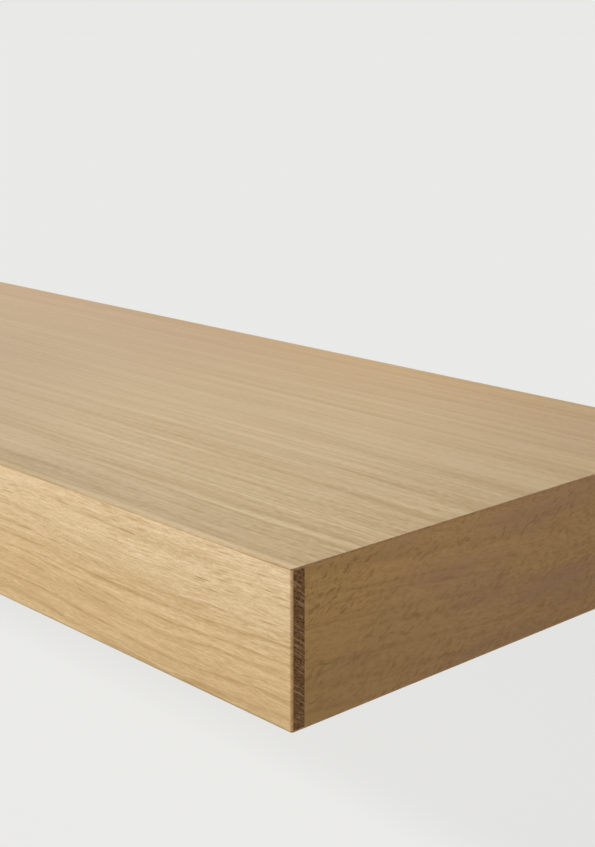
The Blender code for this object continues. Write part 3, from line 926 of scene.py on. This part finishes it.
def angle(name, description, degrees):
    return FloatProperty(name=name, description=description, default=math.radians(degrees), subtype="ANGLE")


def amount(name, description, default):
    return FloatProperty(name=name, description=description, default=default)


def paint(name, description, default):
    return FloatVectorProperty(name=name, description=description, default=default, subtype="COLOR")


class StudioSettings(PropertyGroup):
    """The camera, the lights and the floor."""

    camera_place: FloatVectorProperty(
        name="Camera", description="Where the camera stands", subtype="TRANSLATION", unit="LENGTH",
        precision=4, default=(0.548759, -0.495897, 0.170452),
    )
    camera_heading: angle("Heading", "Turn of the view to the left of the wall's direction", 47.05)
    camera_drop: angle("Drop", "How far the view looks down", 14.252)
    lens: amount("Lens", "Focal length of the lens, in millimetres on a 36 mm sensor", 65.25)
    floor_below: length("Floor Below", "Height of the shelf above the floor", 80)
    floor_reach: length("Floor Reach", "Half the side of the floor", 200000)
    shadow: amount("Shadow", "How much darker the floor is in the shelf's shadow", 0.065)
    backdrop: paint("Backdrop", "Colour behind the shelf", (0.815, 0.815, 0.799))
    ambient: amount("Ambient", "Light from all round, as a share of the backdrop", 0.06)
    key: amount("Key", "Brightness of the light from the front left and above", 0.95)
    key_distance: length("Key Distance", "From the shelf to the key light", 2600)
    key_size: length("Key Size", "Side of the key light", 1400)
    overhead: amount("Overhead", "Brightness of the light from above", 0.38)
    warm: amount("Warm Fill", "Brightness of the warm light from the right", 0.06)
    warm_colour: paint("Warm Colour", "Colour of the warm light", (1, 0.62, 0.3))


class OakSettings(PropertyGroup):
    """Sizes and colours of the oak pieces."""

    corner_easing: length("Corner Easing", "Radius of the upright front corners", 1)
    veneer_easing: length("Veneer Easing", "Width of the eased arris of a veneer", 0.15)
    veneer_cuts: IntProperty(
        name="Veneer Cuts", description="Cuts along a veneer, so that its arris can wander", default=124
    )
    wear_length: length("Wear Length", "Length of one worn place on an arris", 16)
    wear_depth: length("Wear Depth", "Deepest wear of an arris", 0.07)
    insert_hole: length("Insert Hole", "Diameter of the holes in the underside", 10.6)
    top_ring: length("Top Rings", "Width of a growth ring on the veneers", 4.2)
    front_ring: length("Front Rings", "Width of a growth ring on the front", 3.5)
    end_ring: length("End Rings", "Width of a growth ring on the ends", 4.5)
    contrast: amount("Contrast", "How far the palest and darkest wood lie from its colour", 0.24)
    top_colour: paint("Top", "Colour of the veneers", (0.524, 0.375, 0.198))
    front_colour: paint("Front", "Colour of the front", (0.643, 0.440, 0.213))
    # Colour of the ends: darker and more saturated than the front, partly the wood's tone and partly painted
    # shade, as the right end faces away from the key light.
    end_colour_and_shade: paint("Ends", "Colour of the ends", (0.352, 0.198, 0.065))


class BracketSettings(PropertyGroup):
    """Sizes of the bracket and its fixings."""

    plate_corner: length("Plate Corner", "Radius of the plate's corners", 3)
    plate_easing: length("Edge Easing", "Width of the softened edges", 0.4)
    rod_hole_room: length("Rod Hole Room", "Gap round a rod in the plate", 0.1)
    outer_slot: length("Outer Slots", "From the middle to the outer slots", 185)
    inner_slot: length("Inner Slots", "From the middle to the inner slots", 70)
    slot_length: length("Slot Length", "Length of a screw slot", 16)
    slot_width: length("Slot Width", "Width of a screw slot", 7)
    tip_chamfer: length("Tip Chamfer", "Chamfer on a rod's tip", 1.5)
    centre_mark: length("Centre Mark", "Radius of the lathe's mark in a tip", 1.1)
    weld_leg: length("Weld Leg", "Reach of the weld along plate and rod", 3)
    weld_ripples: IntProperty(name="Weld Ripples", description="Ripples in one weld", default=30)
    weld_voxel: length("Weld Detail", "Size of the weld's finest detail", 0.22)
    screw_pitch: length("Screw Pitch", "Pitch of the set screws' thread", 1)
    screw_tooth: length("Screw Tooth", "Depth of the set screws' thread", 0.61)
    socket_flats: length("Socket", "Socket's width across its flats", 3)
    socket_depth: length("Socket Depth", "Depth of the hexagon socket", 3.5)
    insert_bore: length("Insert Bore", "Diameter of the insert's bore", 6.6)
    tap_tooth: length("Tap Tooth", "Depth of the thread in the insert's bore", 0.25)
    insert_chamfer: length("Insert Chamfer", "Chamfer at an insert's ends", 0.5)
    insert_tooth: length("Insert Tooth", "Depth of the insert's wood thread", 0.8)
    collar: length("Insert Collar", "Height of an insert's plain end", 1.4)
    insert_pitch: length("Insert Pitch", "Pitch of the insert's wood thread", 2.5)
    driver_slot: length("Driver Slot", "Width of the slot across an insert", 1.2)
    coat: paint("Coat", "Colour of the powder coat", (0.040, 0.041, 0.045))


# Operators


class ShelfStage(Operator):
    """Set up the camera, the pale floor and the soft studio light"""

    bl_idname = "wall_shelf.stage"
    bl_label = "Stage"

    def add_light(self, kind, name, side, place=(0, 0, 0), **settings):
        """A lamp that shines on the shelf from one side."""
        clear_selection()
        turn = Vector(side).to_track_quat("Z", "Y").to_euler()
        bpy.ops.object.light_add(type=kind, location=place, rotation=turn)
        light = bpy.context.object
        light.name = name
        set_all(light.data, settings)
        return light

    def add_sun(self, name, side, brightness, width, colour=(1, 1, 1)):
        """A light from far away. Brightness 1 makes a white surface that faces it white."""
        energy = brightness * math.pi
        return self.add_light("SUN", name, side, energy=energy, angle=math.radians(width), color=colour)

    def add_softbox(self, name, side, brightness, distance, size):
        """A square light, with the same brightness at its distance from the shelf's middle."""
        place = (CAD_BOX[0] + CAD_BOX[1]) / 2 + Vector(side).normalized() * distance
        energy = brightness * (math.pi * distance) ** 2
        return self.add_light("AREA", name, side, place, shape="SQUARE", size=size, energy=energy)

    def group_floor(self, name, floor, state):
        """A group with the floor alone, or with all but the floor, for lights to fall on."""
        group = bpy.data.collections.new(name)
        group.objects.link(floor)
        group.collection_objects[0].light_linking.link_state = state
        return group

    def add_camera(self, studio):
        clear_selection()
        turn = (math.pi / 2 - studio.camera_drop, 0, studio.camera_heading)
        bpy.ops.object.camera_add(location=studio.camera_place, rotation=turn)
        camera = bpy.context.object
        camera.name = "photo_camera"
        camera.data.lens = studio.lens
        camera.data.clip_start = 10 * MM
        camera.data.clip_end = 5 * studio.floor_reach
        bpy.context.scene.camera = camera

    def add_floor(self, studio):
        clear_selection()
        place = (0, 0, CAD_BOX[0].z - studio.floor_below)
        bpy.ops.mesh.primitive_plane_add(size=2 * studio.floor_reach, location=place)
        floor = settle("floor")
        floor.data.materials.append(pale_floor("pale floor", studio.backdrop, studio.shadow))
        return floor

    def light_world(self, studio):
        """The backdrop as the camera and reflections see it, and much dimmer for all other light."""
        world = bpy.data.worlds.new("studio")
        bpy.context.scene.world = world
        world.use_nodes = True
        graph = Graph(world.node_tree)
        path = graph.node("ShaderNodeLightPath", output="Is Diffuse Ray")
        dim = [value * studio.ambient for value in studio.backdrop]
        graph.fill(graph.nodes["Background"], {"Color": graph.mix(path, studio.backdrop, dim)})

    def execute(self, context):
        studio = context.scene.shelf_studio
        self.add_camera(studio)
        floor = self.add_floor(studio)
        self.light_world(studio)
        front_left, above, right = (-0.50, -0.60, 0.62), (0, 0.1, 1), (1, 0.2, 0.15)
        lights = (
            self.add_softbox("key", front_left, studio.key, studio.key_distance, studio.key_size),
            self.add_sun("overhead", above, studio.overhead, width=60),
            self.add_sun("warm_fill", right, studio.warm, width=60, colour=studio.warm_colour),
        )
        all_but_floor = self.group_floor("all but the floor", floor, "EXCLUDE")
        for light in lights:
            light.light_linking.receiver_collection = all_but_floor
        slant = Vector((-0.8, -1.21, 1)).normalized()
        slanted = self.add_sun("floor_shadow", slant, brightness=1 / slant.z, width=8)
        slanted.light_linking.receiver_collection = self.group_floor("floor alone", floor, "INCLUDE")
        context.scene.view_settings.view_transform = "Standard"
        return {"FINISHED"}


class ShelfVeneers(Operator):
    """Model the veneers of the top and the underside"""

    bl_idname = "wall_shelf.veneers"
    bl_label = "Veneers"

    def execute(self, context):
        sizes = context.scene.shelf_oak
        colours = oak_colours(
            sizes.top_colour, sizes.contrast, line=-0.25, pore=-0.3, ray=0.12, blush=(1.02, 0.99, 1.04),
            end_grain=(0.41, 0.235, 0.095), end_pore=(0.26, 0.14, 0.05), end_ray=(0.46, 0.28, 0.13),
        )
        look = OakLook(
            start=3.7, gloss=0.6, rough=0.5,
            ring_angle=12, ring_width=sizes.top_ring / MM, wander=4, waver=0.4,
            layers=(
                (230, 7, 0.34), (170, 3.6, 1.5), (45, 2, 0.36),
                (30, 1.4, 0.8), (9, 8, 0.05), (3.2, 1.3, 0.75),
            ),
            calms=(
                (0, -212, -190, 0.2, 0.15), (90, 250, 150, 0.2, 0.5), (90, 130, 0, 0.5, 0.65),
                (0, -180, -60, 0.48, 0.62),
            ),
            # The zone list paints light and shade: darker towards the front edge; bands of painted highlight
            # and painted shade along the front arris; painted shade, darker and browner, towards the back
            # and the back right corner; painted shade towards the left end and the front left corner, which
            # the key light reaches most; warmer at the back edge and at the right end.
            zones=(
                (0, -185, -214, 0.93, 0.93, 0.92), (0, -215.3, -216.2, 0.94, 0.93, 0.91),
                (0, -217, -218.6, 1.18, 1.17, 1.18), (0, -219.2, -219.6, 0.88, 0.87, 0.83),
                (0, -219.7, -219.9, 1.12, 1.13, 1.12), (5, -108, 17, 0.94, 0.85, 0.76),
                (2, -20, 0, 1, 0.985, 0.89), (60, 80, 180, 0.86, 0.85, 0.83),
                (90, 80, -60, 0.93, 0.92, 0.98), (205, 85, 150, 0.93, 0.93, 0.93),
                (90, 200, 250, 1, 0.985, 0.95),
            ),
            blush=0.3, onset=0.06, fade=0.42, line_length=60, line=1, pore=0.16, pore_tone=0.5, vessel=20,
            ray=0.12, ray_width=9, ray_length=4, end_from=0.3, end_to=0.6,
        )
        material = OakGrain("oiled oak, veneers", "XYZ", colours, look).oiled()
        screws = [round_node(f"{side}_insert")[2] for side in SIDES]
        holes = {"top": (), "bottom": [(place.x, place.y) for place in screws]}
        for face in holes:
            veneer = make_veneer(f"oak_{face}_veneer", f"{face}_veneer", sizes, holes[face])
            dress(veneer, f"{face}_veneer", "shelf", material)
        return {"FINISHED"}


class ShelfFrontLipping(Operator):
    """Model the solid front edge"""

    bl_idname = "wall_shelf.front_lipping"
    bl_label = "Front Lipping"

    def execute(self, context):
        sizes = context.scene.shelf_oak
        colours = oak_colours(
            sizes.front_colour, sizes.contrast, line=-0.3, pore=-0.34, ray=0.12, blush=(1, 0.97, 0.93),
            end_grain=(0.20, 0.093, 0.031), end_pore=(0.055, 0.023, 0.008), end_ray=(0.38, 0.225, 0.12),
        )
        look = OakLook(
            start=8.3, gloss=0.3, rough=0.55,
            ring_angle=128, ring_width=sizes.front_ring / MM, wander=3.6, waver=1.3, ring_tone=0.09,
            valley=183, valley_reach=80, valley_depth=-2.1,
            layers=(
                (170, 5, 0.3), (75, 2.2, 0.34), (32, 1.2, 0.27),
                (1.5, 0.5, 0.38), (13, 0.75, 0.58), (4, 0.4, 0.65),
            ),
            calms=((0, 4, 17, 0.5, 0), (90, 250, 110, 0.1, 0.2)),
            # The zone list paints light: the front is paler and bluer towards its top, painted light and
            # painted sheen, and paler still in a strip along the top edge.
            zones=((0, -15, 22, 1.16, 1.24, 1.44), (0, 17.5, 21.5, 1.06, 1.06, 1.09)),
            blush=0.15, onset=0.14, fade=0.4, line_length=32, line=0.8, pore=0.22, pore_tone=0.6, vessel=18,
            ray=0.12, ray_width=7, ray_length=3, end_from=0.86, end_to=1,
        )
        material = OakGrain("oiled oak, front", "XZY", colours, look).oiled()
        lipping = make_front_lipping("oak_front_lipping", sizes)
        dress(lipping, "front_lipping", "shelf", material)
        return {"FINISHED"}


class ShelfEndLippings(Operator):
    """Model the two end edges"""

    bl_idname = "wall_shelf.end_lippings"
    bl_label = "End Lippings"

    def execute(self, context):
        sizes = context.scene.shelf_oak
        colours = oak_colours(
            sizes.end_colour_and_shade, sizes.contrast, line=-0.2, pore=-0.3, ray=0.22, blush=(0.96, 0.96, 1.4),
            end_grain=(0.22, 0.12, 0.06), end_pore=(0.11, 0.06, 0.03), end_ray=(0.42, 0.28, 0.17),
        )
        look = OakLook(
            start=5.1, gloss=0.2, rough=0.6,
            ring_angle=10, ring_width=sizes.end_ring / MM, wander=5, waver=2, slope=0.1,
            # Painted shade: a steady change of tone makes the end paler at the front and darker towards the
            # back.
            painted_shade_drift=-0.0022, painted_shade_from=-36,
            layers=(
                (70, 5, 0.12), (34, 2.6, 0.29), (14, 2, 0.23),
                (6, 1.6, 0.55), (7, 6, 0.08), (2.6, 0.9, 1.1),
            ),
            calms=((90, -205, -165, 0.3, 0.28), (90, -150, -60, 0.3, 0)),
            # The zone list paints light: the end is paler towards its top and darker towards its bottom; it
            # also turns bluer towards the back.
            zones=((0, -22, 22, 1.22, 1.22, 1.22), (90, -208, -160, 1, 1, 1.14)),
            blush=0.8, blush_from=0.25, blush_drift=0.0014, onset=0.15, fade=0.6, line_length=60, line=0.4,
            pore=0.14, pore_tone=0.5, vessel=14, ray=0.9, ray_lean=58, ray_width=1.2, ray_length=3.6,
            end_from=0.95, end_to=0.999,
        )
        material = OakGrain("oiled oak, ends", "YZX", colours, look).oiled()
        for side in SIDES:
            lipping = make_end_lipping(f"oak_{side}_end_lipping", f"{side}_end_lipping", sizes)
            dress(lipping, f"{side}_end_lipping", "shelf", material)
        return {"FINISHED"}


class ShelfCore(Operator):
    """Finish the hidden core: panels, rails, blocks, dowels and honeycomb"""

    bl_idname = "wall_shelf.core"
    bl_label = "Core"

    def execute(self, context):
        panel_low, panel_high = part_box("top_panel")
        board = fibreboard("raw fibreboard", middle=(panel_low.z + panel_high.z) / 2 / MM)
        for node in ("top_panel", "bottom_panel"):
            repaint(node, board)
        for node, start in {"front_rail": 1.3, "rear_rail": 4.9}.items():
            repaint(node, softwood(f"spruce, {node}", "XZY", start))
        inward = ("left_end_rail", "right_end_rail", "left_rod_block", "right_rod_block", "centre_rib")
        for number, node in enumerate(inward):
            repaint(node, softwood(f"spruce, {node}", "YZX", start=7.7 + 3.1 * number))
        dowel = beech("beech dowel", start=2.2)
        paper = kraft_paper("kraft paper")
        for side in SIDES:
            for end in ("front", "rear"):
                repaint(f"{end}_{side}_dowel", dowel)
            for bay in ("outer", "inner"):
                repaint(f"{side}_{bay}_honeycomb", paper)
        return {"FINISHED"}


class ShelfPlate(Operator):
    """Model the wall plate"""

    bl_idname = "wall_shelf.plate"
    bl_label = "Wall Plate"

    def execute(self, context):
        sizes = context.scene.shelf_bracket
        plate = make_plate("bracket_plate", sizes)
        dress(plate, "wall_plate", "bracket", powder_coat("dark powder coat", sizes.coat))
        return {"FINISHED"}


class ShelfRods(Operator):
    """Model the rods that carry the shelf, and their welds"""

    bl_idname = "wall_shelf.rods"
    bl_label = "Rods and Welds"

    def execute(self, context):
        sizes = context.scene.shelf_bracket
        weld_metal = weld_steel("weld metal")
        for side in SIDES:
            low, _, middle, _ = round_node(f"{side}_rod")
            steel = bright_steel(f"bright steel, {side} rod", middle.x, low.y)
            rod = make_rod(f"bracket_{side}_rod", f"{side}_rod", sizes)
            dress(rod, f"{side}_rod", "bracket", steel)
            weld = make_weld(f"bracket_{side}_weld", f"{side}_weld", sizes)
            dress(weld, f"{side}_weld", "bracket", weld_metal)
        return {"FINISHED"}


class ShelfFixings(Operator):
    """Model the threaded inserts and the set screws"""

    bl_idname = "wall_shelf.fixings"
    bl_label = "Inserts and Set Screws"

    def execute(self, context):
        sizes = context.scene.shelf_bracket
        metal = brass("machined brass")
        oxide = black_oxide("black oxide")
        for side in SIDES:
            insert = make_insert(f"brass_{side}_insert", f"{side}_insert", sizes)
            dress(insert, f"{side}_insert", "shelf", metal)
            screw = make_set_screw(f"hex_{side}_set_screw", f"{side}_set_screw", sizes)
            dress(screw, f"{side}_set_screw", f"{side}_screw", oxide)
        return {"FINISHED"}


STEPS = (
    ShelfStage, ShelfVeneers, ShelfFrontLipping, ShelfEndLippings,
    ShelfCore, ShelfPlate, ShelfRods, ShelfFixings,
)


class VIEW3D_PT_wall_shelf(Panel):
    """The shelf's steps, in the order in which they are made"""

    bl_label = "Wall Shelf"
    bl_space_type = "VIEW_3D"
    bl_region_type = "UI"
    bl_category = "Wall Shelf"

    def draw(self, context):
        for step in STEPS:
            self.layout.operator(step.bl_idname)


CLASSES = (StudioSettings, OakSettings, BracketSettings, *STEPS, VIEW3D_PT_wall_shelf)


def register():
    for each in CLASSES:
        bpy.utils.register_class(each)
    bpy.types.Scene.shelf_studio = PointerProperty(type=StudioSettings)
    bpy.types.Scene.shelf_oak = PointerProperty(type=OakSettings)
    bpy.types.Scene.shelf_bracket = PointerProperty(type=BracketSettings)


def unregister():
    del bpy.types.Scene.shelf_bracket
    del bpy.types.Scene.shelf_oak
    del bpy.types.Scene.shelf_studio
    for each in reversed(CLASSES):
        bpy.utils.unregister_class(each)


def main():
    register()
    bpy.ops.wall_shelf.stage()
    bpy.ops.wall_shelf.veneers()
    bpy.ops.wall_shelf.front_lipping()
    bpy.ops.wall_shelf.end_lippings()
    bpy.ops.wall_shelf.core()
    bpy.ops.wall_shelf.plate()
    bpy.ops.wall_shelf.rods()
    bpy.ops.wall_shelf.fixings()
    clear_selection()


if __name__ == "__main__":
    main()
